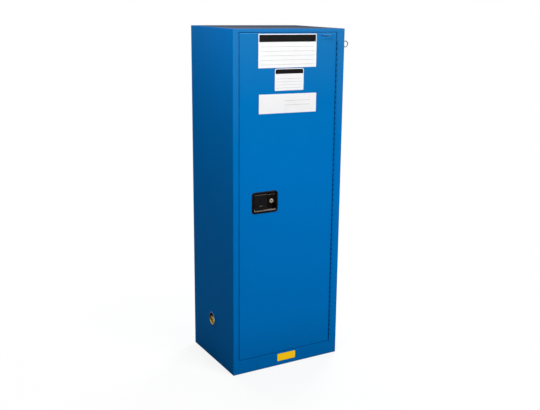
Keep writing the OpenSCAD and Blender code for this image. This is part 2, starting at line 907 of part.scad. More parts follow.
module bottom_bolt() {
    color(steel) translate([bottom_rod_x, rod_world_y, handle_z - pin_near])
        mirror([0, 0, 1]) bolt(handle_z - pin_near - door_z0 + bolt_reach);
}

module side_bolt() {
    color(steel) translate([cam_world_x - pin_near, rod_world_y, side_rod_z])
        rotate([0, -90, 0]) bolt(cam_world_x - pin_near - door_x0 + bolt_reach);
}

// Block that guides a bolt up Z, as deep as the space between the two door skins.
module rod_guide() {
    difference() {
        span([-guide_w / 2, front_y + outer_t, -guide_h / 2],
            [guide_w / 2, front_y + door_depth - inner_t, guide_h / 2]);
        translate([0, rod_world_y, 0])
            shaft_z(bolt_r + slide_fit, -guide_h / 2 - over, guide_h / 2 + over);
    }
}

// Heights of the guides of a bolt, between the handle and a door edge.
function guide_heights(edge, sign) =
    [edge - sign * guide_clear, (edge + handle_z) / 2, handle_z + sign * (bezel_h / 2 + guide_clear)];

module rod_guides() {
    color(natural) {
        for (z = guide_heights(door_z1, 1)) translate([top_rod_x, 0, z]) rod_guide();
        for (z = guide_heights(door_z0, -1)) translate([bottom_rod_x, 0, z]) rod_guide();
        translate([door_x0 + guide_clear, 0, side_rod_z]) rotate([0, 90, 0]) rod_guide();
    }
}

// Plate with a bolt hole, behind the frame where a bolt along Z enters it.
module strike() {
    difference() {
        span([-strike_w / 2, rod_world_y - strike_d / 2, 0],
            [strike_w / 2, rod_world_y + strike_d / 2, strike_t]);
        translate([0, rod_world_y, 0])
            shaft_z(bolt_r + bolt_hole_play, -over, strike_t + over);
    }
}

module latch_strikes() {
    color(zinc) {
        translate([top_rod_x, 0, open_z1 + outer_t]) strike();
        translate([bottom_rod_x, 0, open_z0 - outer_t - strike_t]) strike();
        translate([open_x0 - outer_t - strike_t, 0, side_rod_z]) rotate([0, 90, 0]) strike();
    }
}

// ---------- Hold-open ring, tab and grounding screw ----------

// Washer outside and nut inside the right side panel, on a shank along X.
module washer_and_nut() {
    inside = body_w / 2 - outer_t;
    difference() {
        shaft_x(washer_r, body_w / 2, body_w / 2 + washer_t);
        shaft_x(eye_shank_r, body_w / 2 - over, body_w / 2 + washer_t + over);
    }
    difference() {
        translate([inside - nut_t, 0, 0]) rotate([0, 90, 0])
            cylinder(h = nut_t, r = nut_r, $fn = 6);
        shaft_x(eye_shank_r, inside - nut_t - over, inside + over);
    }
}

module hold_open_eye() {
    ring_x = body_w / 2 + washer_t + eye_gap + eye_ring_r;
    color(steel) translate([0, front_y + eye_back, eye_z]) {
        translate([ring_x, 0, 0]) rotate([90, 0, 0])
            rotate_extrude() translate([eye_ring_r, 0]) circle(eye_wire_r);
        shaft_x(eye_shank_r, body_w / 2 - eye_shank_len, ring_x - eye_ring_r);
    }
}

module eye_nut() {
    color(zinc) translate([0, front_y + eye_back, eye_z]) washer_and_nut();
}

module grounding_screw() {
    color(brass) translate([0, back_y - ground_from_back, ground_z]) {
        shaft_x(eye_shank_r, body_w / 2 - eye_shank_len, body_w / 2 + washer_t);
        translate([body_w / 2 + washer_t, 0, 0]) rotate([0, 90, 0])
            cylinder(h = nut_t, r = nut_r, $fn = 6);
    }
}

module grounding_nut() {
    color(zinc) translate([0, back_y - ground_from_back, ground_z]) washer_and_nut();
}

// Angle on the door face whose lip takes the hook that holds the door open.
module hold_open_tab() {
    x1 = door_x1 - tab_from_hinge;
    z1 = door_z1 - tab_from_top;
    color(blue) difference() {
        union() {
            span([x1 - tab_w, front_y - tab_t, z1 - tab_h], [x1, front_y, z1]);
            translate([x1 - tab_w / 2, front_y, z1 - tab_t]) linear_extrude(tab_t)
                intersection() {
                    round_rect(tab_w, 2 * tab_reach, tab_reach / 2);
                    translate([-tab_w, -2 * tab_reach]) square([2 * tab_w, 2 * tab_reach]);
                }
        }
        translate([x1 - tab_w / 4, front_y - tab_reach / 2, 0])
            shaft_z(tab_hole_r, z1 - tab_t - over, z1 + over);
    }
}

// ---------- Vents ----------

// Places its children with Z pointing out of the left or the right vent, from its face.
module at_vent(side) {
    translate([side * body_w / 2, vent_y, side < 0 ? vent_low_z : vent_high_z])
        rotate([0, side * 90, 0]) children();
}

// Tube through both walls, with a rolled collar outside.
module vent_socket(side) {
    color(blue) at_vent(side) rotate_extrude() {
        translate([vent_bore_r, -vent_depth]) square([vent_wall, vent_depth + collar_t]);
        translate([vent_out_r, 0]) square([collar_r - vent_out_r, collar_t]);
        translate([vent_out_r + collar_bead_r - vent_wall, collar_t])
            intersection() {
                circle(collar_bead_r);
                translate([-collar_bead_r, 0]) square(2 * collar_bead_r);
            }
    }
}

module vent_socket_left() { vent_socket(-1); }
module vent_socket_right() { vent_socket(1); }

// Ring with crossed bars at the inner end of the socket.
module flame_arrester(side) {
    bars = floor((vent_bore_r - arrester_rim) / arrester_pitch);
    color(zinc) at_vent(side) translate([0, 0, -vent_depth]) linear_extrude(arrester_t) {
        difference() {
            circle(vent_bore_r);
            circle(vent_bore_r - arrester_rim);
        }
        intersection() {
            circle(vent_bore_r - arrester_rim / 2);
            for (turn = [0, 90], step = [-bars : bars])
                rotate(turn) translate([-vent_bore_r, step * arrester_pitch - arrester_bar / 2])
                    square([2 * vent_bore_r, arrester_bar]);
        }
    }
}

module flame_arrester_left() { flame_arrester(-1); }
module flame_arrester_right() { flame_arrester(1); }

// Plug with a grip bar across its face.
module vent_plug(side) {
    color(brass) at_vent(side) {
        shaft_z(vent_bore_r - loose_fit, -plug_recess - vent_plug_len, -plug_recess);
        intersection() {
            shaft_z(vent_bore_r - plug_bar_in, -plug_recess, plug_bar_t - plug_recess);
            span([-plug_bar_w / 2, -vent_bore_r, -plug_recess],
                [plug_bar_w / 2, vent_bore_r, plug_bar_t - plug_recess]);
        }
    }
}

module vent_plug_left() { vent_plug(-1); }
module vent_plug_right() { vent_plug(1); }

// ---------- Shelves and trays ----------

// Height of the underside of a shelf, counted from 0 at the bottom.
function shelf_z(number) =
    slot_z0 + (first_shelf_step + number * shelf_spacing_steps) * slot_pitch + clip_rise;

// Clip on the right wall: a plate on the wall, a ledge and a hook through a slot.
module shelf_clip(z) {
    translate([room_x, room_mid_y, z]) {
        span([-clip_t, -clip_w / 2, -clip_h], [0, clip_w / 2, 0]);
        span([-clip_ledge, -clip_w / 2, -clip_t], [0, clip_w / 2, 0]);
        span([0, loose_fit - slot_w / 2, -clip_rise - slot_h / 4],
            [inner_t + clip_hook, slot_w / 2 - loose_fit, -clip_rise + slot_h / 4]);
    }
}

module shelf_clips() {
    color(zinc) for (number = [0 : 2], side = [0, 1], column = [-1, 1])
        mirror([side, 0, 0]) translate([0, column * slot_dy, 0]) shelf_clip(shelf_z(number));
}

// Shelf: a sheet with a flange down each edge and a hem under the two ends.
module shelf(number) {
    half = shelf_w / 2;
    y0 = room_mid_y - shelf_d / 2;
    y1 = room_mid_y + shelf_d / 2;
    color(zinc) translate([0, 0, shelf_z(number)]) {
        span([-half, y0, shelf_flange - shelf_t], [half, y1, shelf_flange]);
        span([-half, y0, 0], [half, y0 + shelf_t, shelf_flange]);
        span([-half, y1 - shelf_t, 0], [half, y1, shelf_flange]);
        for (side = [0, 1])
            mirror([side, 0, 0]) {
                span([half - shelf_t, y0, 0], [half, y1, shelf_flange]);
                span([half - shelf_hem, y0, 0], [half, y1, shelf_t]);
            }
    }
}

module lower_shelf() { shelf(0); }
module middle_shelf() { shelf(1); }
module upper_shelf() { shelf(2); }

// Open tray with round corners and a rim, standing on Z = 0.
module tray(w, d, h) {
    inner_w = w - 2 * tray_rim;
    inner_d = d - 2 * tray_rim;
    difference() {
        union() {
            linear_extrude(h) round_rect(inner_w, inner_d, tray_r - tray_rim);
            translate([0, 0, h - tray_t]) linear_extrude(tray_t) round_rect(w, d, tray_r);
        }
        translate([0, 0, tray_t]) linear_extrude(h)
            round_rect(inner_w - 2 * tray_t, inner_d - 2 * tray_t, tray_r - tray_rim - tray_t);
    }
}

module shelf_tray(number) {
    color(natural) translate([0, room_mid_y, shelf_z(number) + shelf_flange])
        tray(shelf_w - 2 * tray_inset, shelf_d - 2 * tray_inset, tray_h);
}

module lower_tray() { shelf_tray(0); }
module middle_tray() { shelf_tray(1); }
module upper_tray() { shelf_tray(2); }

module sump_tray() {
    color(natural) translate([0, room_mid_y, sump_z])
        tray(2 * (room_x - inner_t - sump_tray_gap),
            room_y1 - room_y0 - 2 * (inner_t + sump_tray_gap), sump_tray_h);
}

// ---------- Feet ----------

// Places its children at one foot, by the sign of its X and Y.
module at_foot(sx, sy) {
    translate([sx * (body_w / 2 - foot_inset), sy * (body_d / 2 - foot_inset), 0]) children();
}

module at_feet() {
    for (sx = [-1, 1], sy = [-1, 1]) at_foot(sx, sy) children();
}

// Cups on the base panel whose tops take the threaded stems.
module foot_sockets() {
    cup_in = foot_r + foot_hole_play;
    low = base_z + outer_t;
    color(zinc) at_feet() difference() {
        shaft_z(cup_in + socket_wall, low, low + socket_h);
        shaft_z(cup_in, low - over, low + socket_h - socket_top);
        shaft_z(stem_r + run_fit, low, low + socket_h + over);
    }
}

module foot(sx, sy) {
    color(black) at_foot(sx, sy) {
        shaft_z(foot_r, 0, foot_pad_h);
        shaft_z(stem_r, foot_pad_h, stem_top);
    }
}

module front_left_foot() { foot(-1, -1); }
module front_right_foot() { foot(1, -1); }
module rear_left_foot() { foot(-1, 1); }
module rear_right_foot() { foot(1, 1); }

// ---------- Labels ----------

// Thin plate on the front face, centred at (x, z).
module face_label(x, z, w, h) {
    translate([x, front_y, z]) plate_xz(w, h, label_corner, -label_t, 0);
}

module header_label() {
    color(white) face_label(label_x, header_z, wide_label_w, header_label_h);
}

// Label with two large round corners at the top.
module middle_label() {
    color(white) translate([middle_label_x, front_y, middle_z]) intersection() {
        translate([0, 0, -middle_label_r])
            plate_xz(middle_label_w, middle_label_h + 2 * middle_label_r, middle_label_r,
                -label_t, 0);
        plate_xz(middle_label_w, middle_label_h, label_corner / 2, -label_t, 0);
    }
}

module lower_label() {
    color(white) translate([lower_label_x, 0, lower_z]) rotate([0, lower_tilt, 0])
        face_label(0, 0, wide_label_w, lower_label_h);
}

module base_sticker() {
    color(yellow) face_label(0, sticker_z, sticker_w, sticker_h);
}

// ---------- Assembly ----------

left_side();
right_side();
top_panel();
base_panel();
back_panel();
inner_left_wall();
inner_right_wall();
inner_back_wall();
inner_ceiling();
sump_pan();
latch_strikes();
frame_hinge_leaf();
hinge_pin();
hold_open_eye();
eye_nut();
grounding_screw();
grounding_nut();
vent_socket_left();
vent_socket_right();
flame_arrester_left();
flame_arrester_right();
shelf_clips();
foot_sockets();
base_sticker();
door_outer_skin();
door_inner_skin();
door_hinge_leaf();
hold_open_tab();
handle_bezel();
latch_plate();
cam_pivot();
handle_screws();
rod_guides();
lock_barrel();
paddle_pin();
paddle_return_spring();
header_label();
middle_label();
lower_label();
paddle();
latch_cam();
top_bolt();
bottom_bolt();
side_bolt();
key_plug();
lower_shelf();
middle_shelf();
upper_shelf();
lower_tray();
middle_tray();
upper_tray();
sump_tray();
vent_plug_left();
vent_plug_right();
front_left_foot();
front_right_foot();
rear_left_foot();
rear_right_foot();
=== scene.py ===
import math

import bmesh
import bpy
from mathutils import Matrix, Vector


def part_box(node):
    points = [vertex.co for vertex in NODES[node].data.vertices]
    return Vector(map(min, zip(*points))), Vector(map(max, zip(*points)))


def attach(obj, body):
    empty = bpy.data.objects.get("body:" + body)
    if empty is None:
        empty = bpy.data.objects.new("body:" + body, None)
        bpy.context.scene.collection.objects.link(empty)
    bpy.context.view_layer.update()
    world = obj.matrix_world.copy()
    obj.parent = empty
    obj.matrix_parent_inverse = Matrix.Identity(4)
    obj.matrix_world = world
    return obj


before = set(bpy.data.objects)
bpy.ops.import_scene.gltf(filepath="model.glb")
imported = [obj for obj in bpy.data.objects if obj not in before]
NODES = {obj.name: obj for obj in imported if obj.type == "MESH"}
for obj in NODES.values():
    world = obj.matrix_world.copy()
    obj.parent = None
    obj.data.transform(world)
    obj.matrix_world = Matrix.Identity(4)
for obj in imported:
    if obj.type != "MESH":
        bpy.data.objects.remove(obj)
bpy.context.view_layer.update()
scene = bpy.context.scene

MM = 0.001
WHITE = (1.0, 1.0, 1.0, 1.0)


# ---------------------------------------------------------------- colours
def lin(r, g, b):
    """Linear colour from 0-255 display values."""
    out = []
    for v in (r, g, b):
        v /= 255.0
        out.append(v / 12.92 if v <= 0.04045 else ((v + 0.055) / 1.055) ** 2.4)
    return (*out, 1.0)


def shade(colour, k):
    """The colour, k times as bright."""
    return (colour[0] * k, colour[1] * k, colour[2] * k, 1.0)


# ---------------------------------------------------------------- node helpers
class Graph:
    """A node tree built in code. Every input takes a value or another node's socket."""

    def __init__(self, owner):
        owner.use_nodes = True
        self.t = owner.node_tree
        self.t.nodes.clear()

    def put(self, socket, value):
        if isinstance(value, bpy.types.NodeSocket):
            self.t.links.new(value, socket)
        else:
            socket.default_value = value

    def node(self, kind, settings=None, **inputs):
        """New node: settings are its own properties, inputs its sockets, _ for a space."""
        n = self.t.nodes.new(kind)
        for key, value in (settings or {}).items():
            setattr(n, key, value)
        for key, value in inputs.items():
            self.put(n.inputs[key.replace("_", " ")], value)
        return n

    def math(self, op, a, b=0.0, clamp=False):
        n = self.node("ShaderNodeMath", {"operation": op, "use_clamp": clamp})
        self.put(n.inputs[0], a)
        self.put(n.inputs[1], b)
        return n.outputs["Value"]

    def times(self, *factors):
        """Product of masks and numbers."""
        product = factors[0]
        for factor in factors[1:]:
            product = self.math("MULTIPLY", product, factor)
        return product

    def vector(self, op, a, b=(0.0, 0.0, 0.0)):
        n = self.node("ShaderNodeVectorMath", {"operation": op})
        self.put(n.inputs[0], a)
        self.put(n.inputs[1], b)
        return n.outputs["Value" if op in ("DOT_PRODUCT", "LENGTH") else "Vector"]

    def ramp(self, fac, low, high, a=0.0, b=1.0):
        """fac from low..high to a..b, held at both ends."""
        n = self.node("ShaderNodeMapRange", Value=fac, From_Min=low, From_Max=high,
                      To_Min=a, To_Max=b)
        return n.outputs["Result"]

    def mix_shaders(self, fac, first, second, output):
        """Shows the first shader where fac is 0 and the second where it is 1."""
        n = self.node("ShaderNodeMixShader", Fac=fac)
        self.put(n.inputs[1], first.outputs[0])
        self.put(n.inputs[2], second.outputs[0])
        self.node(output, Surface=n.outputs[0])


class Mat(Graph):
    """A node material around one Principled shader, fed by the object's own coordinates."""

    MIX_A, MIX_B, MIX_RESULT = 6, 7, 2  # the Mix node's sockets for colours

    def __init__(self, name, base, rough=0.5, metal=0.0, spec=0.5):
        self.m = bpy.data.materials.new(name)
        self.m.diffuse_color = base
        super().__init__(self.m)
        self.p = self.node("ShaderNodeBsdfPrincipled", Base_Color=base, Roughness=rough,
                           Metallic=metal, Specular_IOR_Level=spec)
        self.node("ShaderNodeOutputMaterial", Surface=self.p.outputs["BSDF"])
        own = self.node("ShaderNodeTexCoord").outputs
        self.co, self.own_normal = own["Object"], own["Normal"]
        self.colour = base
        self.relief = None

    def scaled(self, sx, sy, sz):
        """Coordinates squeezed along each axis, for grain that runs one way."""
        n = self.node("ShaderNodeMapping", Vector=self.co, Scale=(sx, sy, sz))
        return n.outputs["Vector"]

    def noise(self, scale, detail=3.0, rough=0.55, vector=None):
        n = self.node("ShaderNodeTexNoise", Scale=scale, Detail=detail, Roughness=rough,
                      Vector=vector or self.co)
        return n.outputs["Fac"]

    def axis(self, which, source=None):
        return self.node("ShaderNodeSeparateXYZ", Vector=source or self.co).outputs[which]

    def normal(self):
        return self.node("ShaderNodeNewGeometry").outputs["Normal"]

    def bevel(self, radius, samples=4):
        """Normal of the surface with its edges rounded."""
        n = self.node("ShaderNodeBevel", {"samples": samples}, Radius=radius)
        return n.outputs["Normal"]

    # masks
    def edges(self, radius, gain=3.0):
        """1 on sharp edges, 0 on flat faces."""
        flat = self.vector("DOT_PRODUCT", self.bevel(radius), self.normal())
        return self.math("MULTIPLY", self.math("SUBTRACT", 1.0, flat), gain, clamp=True)

    def upper_edges(self, radius, low=0.12, high=0.5):
        """1 along edges that turn up to the light, 0 on faces that stand upright."""
        return self.ramp(self.axis("Z", self.bevel(radius, samples=6)), low, high)

    def upward(self, low, high):
        """1 on faces that look up."""
        return self.ramp(self.axis("Z", self.normal()), low, high)

    def forward(self, low=0.7, high=0.95):
        """1 on the object's own front faces, so that it stays on them as the object turns."""
        front = self.vector("DOT_PRODUCT", self.own_normal, (0.0, -1.0, 0.0))
        return self.ramp(front, low, high)

    def within(self, low, high, soft=1 * MM):
        """1 inside an upright window given by its corners in X and Z, 0 outside."""
        sides = []
        for which in ("X", "Z"):
            a, b = getattr(low, which.lower()), getattr(high, which.lower())
            off = self.math("ABSOLUTE", self.math("SUBTRACT", self.axis(which), (a + b) / 2))
            sides.append(self.ramp(off, (b - a) / 2 - soft, (b - a) / 2, 1.0, 0.0))
        return self.math("MINIMUM", *sides)

    def cavity(self, distance):
        """1 deep in corners and gaps, 0 in the open."""
        n = self.node("ShaderNodeAmbientOcclusion", {"samples": 4}, Distance=distance)
        return self.math("SUBTRACT", 1.0, n.outputs["AO"])

    # layers
    def over(self, fac, colour, amount=1.0, blend="MIX"):
        """Lays a colour over what the base colour is so far, by fac times amount."""
        if amount != 1.0:
            fac = self.times(fac, amount)
        n = self.node("ShaderNodeMix", {"data_type": "RGBA", "blend_type": blend}, Factor=fac)
        self.put(n.inputs[self.MIX_A], self.colour)
        self.put(n.inputs[self.MIX_B], colour)
        self.colour = n.outputs[self.MIX_RESULT]
        self.put(self.p.inputs["Base Color"], self.colour)

    def patches(self, scale, detail, low, high, amount, colour):
        """Patches of a colour, up to amount, where a noise goes from low to high."""
        self.over(self.ramp(self.noise(scale, detail), low, high, 0.0, amount), colour)

    def rough(self, fac, least, most, low=0.3, high=0.7):
        """Roughness from least to most as fac goes from low to high."""
        self.put(self.p.inputs["Roughness"], self.ramp(fac, low, high, least, most))

    def bump(self, height, strength, distance, radius=None):
        """Relief on top of the relief so far. The first one also rounds edges by radius."""
        n = self.node("ShaderNodeBump", Strength=strength, Distance=distance, Height=height)
        if self.relief is not None:
            self.put(n.inputs["Normal"], self.relief)
        elif radius:
            self.put(n.inputs["Normal"], self.bevel(radius))
        self.relief = n.outputs["Normal"]
        self.put(self.p.inputs["Normal"], self.relief)


# ---------------------------------------------------------------- enamel
BLUE = lin(0, 113, 191)

# Front faces are duller towards the top, from painted shade under a pale painted sheen that
# stands for a reflection. Heights are in metres.
PAINTED_LIGHT_FROM, PAINTED_LIGHT_TO = 0.95, 1.61
PAINTED_SHADE_TINT = (1.0, 0.87, 0.765, 1.0)
PAINTED_SHEEN = lin(200, 215, 230)
BODY_SHEEN = (1.12, 0.0246)  # the height at which it starts, and how strong it gets
DOOR_SHEEN = (1.31, 0.0163)

# The lowest part is darker, from painted shade, with a few scuffs where feet and brooms reach
# it.
PAINTED_SHADE_TO, SCUFFED_TO = 0.25, 0.05
SCUFF = lin(24, 62, 92)


def enamel(name, base, spec=0.006, rough=0.42, edge_highlight=0.35, sheen=None):
    """Blue enamel with painted highlights on edges, painted shade in corners, gaps and towards
    the bottom, and a faint orange peel.
    """
    m = Mat(name, base, rough=rough, spec=spec)
    m.patches(2.6, 4, 0.35, 0.7, 0.5, shade(base, 0.93))
    m.patches(23, 5, 0.5, 0.75, 0.35, shade(base, 1.06))
    if sheen:
        sheen_from, strength = sheen
        # painted shade towards the top of the front faces, and over it a pale painted sheen for
        # a reflection
        front, height = m.forward(), m.axis("Z")
        m.over(m.times(front, m.ramp(height, PAINTED_LIGHT_FROM, PAINTED_LIGHT_TO)), PAINTED_SHADE_TINT, blend="MULTIPLY")
        m.over(m.times(front, m.ramp(height, sheen_from, PAINTED_LIGHT_TO, 0.0, strength)), PAINTED_SHEEN)
    # painted highlight: a lighter copy of the base on every edge
    m.over(m.edges(0.0012), shade(base, 1.25), edge_highlight)
    # painted shade: a darker copy of the base in corners and gaps
    m.over(m.cavity(0.012), shade(base, 0.35), 0.45)
    # painted shade: a darker copy of the base towards the bottom
    m.over(m.ramp(m.axis("Z"), 0.0, PAINTED_SHADE_TO, 0.22, 0.0), shade(base, 0.3))
    scuffs = m.ramp(m.noise(60, 6, vector=m.scaled(1, 1, 0.25)), 0.6, 0.68)
    m.over(m.times(m.ramp(m.axis("Z"), 0.0, SCUFFED_TO, 1.0, 0.0), scuffs), SCUFF, 0.35)
    m.rough(m.noise(9, 5), rough - 0.07, rough + 0.08)
    m.bump(m.noise(420, 2, 0.5), 0.16, 0.00025, radius=0.0008)
    m.bump(m.noise(5, 2), 0.05, 0.002)
    return m


def dusty_top(name):
    """Enamel under a film of grey dust on what faces up, thin at the edges and the rear."""
    m = enamel(name, BLUE, spec=0.0, sheen=BODY_SHEEN)
    half_w, half_d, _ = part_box("top_panel")[1]
    to_edge = m.math("MINIMUM", *(m.math("SUBTRACT", half, m.math("ABSOLUTE", m.axis(which)))
                                  for which, half in (("X", half_w), ("Y", half_d))))
    dust = m.times(m.upward(0.6, 0.98),
                   m.ramp(m.noise(6, 5), 0.2, 0.8, 0.9, 1.0),
                   m.ramp(to_edge, 0.0, 0.022, 0.45, 1.0))
    settled = m.ramp(m.noise(9, 6, 0.65), 0.45, 0.7)
    wiped = m.ramp(m.noise(3.2, 5, 0.6, m.scaled(1, 3.5, 1)), 0.58, 0.72)
    rear = m.ramp(m.axis("Y"), -0.08, 0.12)
    m.over(dust, lin(86, 83, 84))
    m.over(m.times(dust, settled), lin(105, 101, 101), 0.35)
    m.over(m.times(dust, wiped), lin(60, 84, 108), 0.3)
    m.over(m.times(dust, rear), (0.6, 0.87, 1.0, 1.0), blend="MULTIPLY")
    return m


def leaf(name, base, overlay):
    """Hinge leaf: enamel with strong painted highlights on its edges, laid evenly, by the
    amount overlay, under a dark blue that is painted shade.
    """
    m = enamel(name, base, edge_highlight=0.5, sheen=DOOR_SHEEN)
    # painted shade: dark blue laid evenly over the whole leaf
    m.over(overlay, lin(0, 44, 74))
    return m


# ---------------------------------------------------------------- metals
def spangle(name, base, scale=70.0, rough=0.45):
    """Galvanised sheet: crystal patches, a few darker, with matt pale patches and a painted
    highlight on its edges.
    """
    m = Mat(name, base, rough=rough, metal=0.85)
    crystals = m.node("ShaderNodeTexVoronoi", Scale=scale, Vector=m.co)
    cell = m.axis("X", crystals.outputs["Color"])
    m.over(m.ramp(cell, 0.0, 1.0, 0.0, 0.55), shade(base, 0.72))
    m.patches(7, 5, 0.45, 0.8, 0.5, lin(196, 199, 200))
    # painted highlight on edges
    m.over(m.edges(0.001), lin(214, 216, 218), 0.4)
    m.rough(cell, rough - 0.1, rough + 0.12, 0.0, 1.0)
    m.bump(cell, 0.05, 0.0002, radius=0.0005)
    return m


def brushed(name, base, rough=0.28, along=(1, 1, 0.02)):
    """Turned or brushed steel: fine lines along one axis."""
    m = Mat(name, base, rough=rough, metal=1.0)
    line = m.noise(900, 2, 0.5, vector=m.scaled(*along))
    m.over(m.ramp(line, 0.35, 0.7, 0.0, 0.35), shade(base, 0.78))
    # painted shade in hollows, and a painted highlight on edges
    m.over(m.cavity(0.004), shade(base, 0.25), 0.6)
    m.over(m.edges(0.0006), lin(236, 236, 232), 0.4)
    m.rough(line, rough - 0.06, rough + 0.1)
    m.bump(line, 0.05, 0.0001, radius=0.0004)
    return m


def aged_brass(name):
    """Brass: brown patches, dark corners, and painted highlights on edges and on the outer
    faces.
    """
    m = Mat(name, lin(214, 184, 104), rough=0.34, metal=0.75)
    m.patches(45, 6, 0.45, 0.7, 0.55, lin(150, 112, 50))
    m.over(m.cavity(0.008), lin(66, 40, 14), 0.7)
    # painted highlights: pale edges, and faces that look out along X
    m.over(m.edges(0.0012), lin(250, 236, 190), 0.6)
    outward = m.math("ABSOLUTE", m.axis("X", m.normal()))
    m.over(m.ramp(outward, 0.75, 0.95), lin(255, 243, 198), 0.55)
    m.rough(m.noise(120, 4), 0.3, 0.55)
    m.bump(m.noise(260, 3), 0.18, 0.0003, radius=0.0008)
    return m


BORE_FROM, BORE_TO = 0.0289, 0.0295  # the bore's wall lies between these radii


def socket_finish(node):
    """Vent socket: enamelled collar outside with a painted highlight on its edges, dark bronze
    inside its bore with painted light on the faces that look up, and painted shade deep inside.
    """
    low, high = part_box(node)
    centre = (low + high) / 2
    m = Mat(f"{node}_finish", BLUE, rough=0.4, spec=0.35)
    off = m.vector("SUBTRACT", m.co, (0, centre.y, centre.z))
    radius = m.vector("LENGTH", m.vector("MULTIPLY", off, (0, 1, 1)))
    inside = m.ramp(radius, BORE_FROM, BORE_TO, 1.0, 0.0)
    m.patches(30, 4, 0.4, 0.7, 0.4, shade(BLUE, 0.9))
    # painted highlight: lighter blue along the collar's edges
    m.over(m.edges(0.003), lin(0, 132, 214), 0.5)
    # the bore is dark bronze, which also stands for its shade; its faces that look up get
    # painted light in gold
    m.over(inside, lin(74, 50, 24))
    m.over(m.times(inside, m.upward(0.1, 0.7)), lin(232, 214, 96), 0.8)
    m.over(m.times(inside, m.ramp(m.noise(90, 5), 0.5, 0.7, 0.0, 0.5)), lin(126, 96, 44))
    # painted shade, nearly black, deep in the bore and in corners
    m.over(m.cavity(0.02), lin(10, 6, 4), 0.85)
    m.put(m.p.inputs["Metallic"], m.times(inside, 0.9))
    m.bump(m.noise(400, 2), 0.12, 0.0003, radius=0.001)
    return m


# ---------------------------------------------------------------- plastics and print
def moulding(name, base, grain=520.0, rough=0.36, glint=0.4, round_edge=0.0015, window=None):
    """Moulded black plastic: fine grain, painted highlights on edges, painted shade in hollows,
    and dust with painted light on what faces up.
    window limits the dust and the painted light to a part of the piece, given by its corners."""
    m = Mat(name, base, rough=rough, spec=0.08)
    m.patches(30, 4, 0.4, 0.75, 0.5, shade(base, 1.7))
    # painted highlight on edges, by glint
    m.over(m.edges(0.0018, 2.4), lin(118, 110, 104), glint)
    # painted shade in hollows
    m.over(m.cavity(0.01), lin(4, 4, 4), 0.6)
    # dust, with painted light, on faces that look up; painted highlight along edges that turn
    # up
    settled = m.times(m.upward(0.3, 0.75), m.ramp(m.noise(120, 4), 0.3, 0.6, 0.2, 0.5))
    lit_edges = m.times(m.upper_edges(round_edge), m.ramp(m.noise(60, 4), 0.3, 0.6, 0.5, 1.0))
    for mask in (settled, lit_edges):
        m.over(m.times(mask, m.within(*window)) if window else mask, lin(150, 140, 132))
    m.rough(m.noise(90, 4), rough - 0.08, rough + 0.12)
    m.bump(m.noise(grain, 2), 0.22, 0.00025, radius=0.0012)
    return m


def rubber(name):
    """Black rubber, greyer where it is scuffed, with a painted highlight on its edges."""
    m = Mat(name, lin(28, 28, 29), rough=0.82, spec=0.25)
    m.patches(80, 5, 0.45, 0.7, 0.6, lin(52, 51, 50))
    # painted highlight on edges
    m.over(m.edges(0.001), lin(74, 73, 72), 0.4)
    m.bump(m.noise(600, 3), 0.3, 0.0003, radius=0.0006)
    return m


def polyethylene(name):
    """Natural polyethylene: milky, a little stained, with a soft sheen."""
    m = Mat(name, lin(226, 224, 214), rough=0.46, spec=0.4)
    m.p.inputs["Subsurface Weight"].default_value = 0.25
    m.p.inputs["Subsurface Radius"].default_value = (0.006, 0.006, 0.005)
    m.p.inputs["Subsurface Scale"].default_value = 1.0
    m.patches(5, 4, 0.4, 0.75, 0.4, lin(212, 208, 192))
    m.patches(140, 5, 0.62, 0.72, 0.25, lin(186, 180, 164))
    # painted shade in corners and hollows
    m.over(m.cavity(0.03), lin(168, 160, 142), 0.35)
    m.rough(m.noise(40, 4), 0.38, 0.56)
    m.bump(m.noise(300, 3), 0.12, 0.0004, radius=0.0012)
    return m


def film(name, base, overlay, rough=0.32, spec=0.4):
    """Printed vinyl film: even colour, faint dust and a slightly uneven lie."""
    m = Mat(name, base, rough=rough, spec=spec)
    m.patches(18, 5, 0.5, 0.8, 0.35, overlay)
    m.patches(700, 2, 0.62, 0.8, 0.25, overlay)
    m.rough(m.noise(30, 3), rough - 0.06, rough + 0.1)
    m.bump(m.noise(14, 2), 0.04, 0.002)
    return m


# ---------------------------------------------------------------- the cabinet's materials
ACROSS = (1, 0.02, 1)  # lines that run from front to back

blue = enamel("blue_enamel", BLUE, sheen=BODY_SHEEN)
door_blue = enamel("blue_enamel_door", BLUE, sheen=DOOR_SHEEN)
# the fold along the top of the door catches the light
door_blue.over(door_blue.upper_edges(0.004), lin(70, 150, 215), 0.6)
inner_blue = enamel("blue_enamel_inside", lin(0, 108, 180), spec=0.03, rough=0.45)
top_paint = dusty_top("blue_enamel_top")
# the tab's blue is a lighter copy of the body's, as painted light, with a painted highlight on
# its top edge
tab_paint = enamel("blue_enamel_tab", lin(30, 128, 196), spec=0.05, edge_highlight=0.3)
tab_paint.over(tab_paint.upper_edges(0.003), lin(150, 196, 232))
# painted shade: the leaves are darker copies of the blue, the frame's leaf much darker, for the
# shadowed hinge line
door_leaf = leaf("blue_enamel_door_leaf", shade(BLUE, 0.92), 0.05)
frame_leaf = leaf("blue_enamel_frame_leaf", shade(BLUE, 0.6), 0.6)

galvanised = spangle("galvanised_sheet", lin(172, 176, 180))
zinc = spangle("zinc_plate", lin(186, 188, 186), scale=400.0, rough=0.38)
ring_steel = spangle("weathered_zinc", lin(136, 128, 116), scale=500.0, rough=0.5)
steel = brushed("bright_steel", lin(205, 205, 202))
lock_steel = brushed("lock_nickel", lin(236, 230, 208), rough=0.34, along=ACROSS)
plug_steel = brushed("key_plug_nickel", lin(160, 148, 122), rough=0.4, along=ACROSS)
brass = aged_brass("aged_brass")
left_socket = socket_finish("vent_socket_left")
right_socket = socket_finish("vent_socket_right")

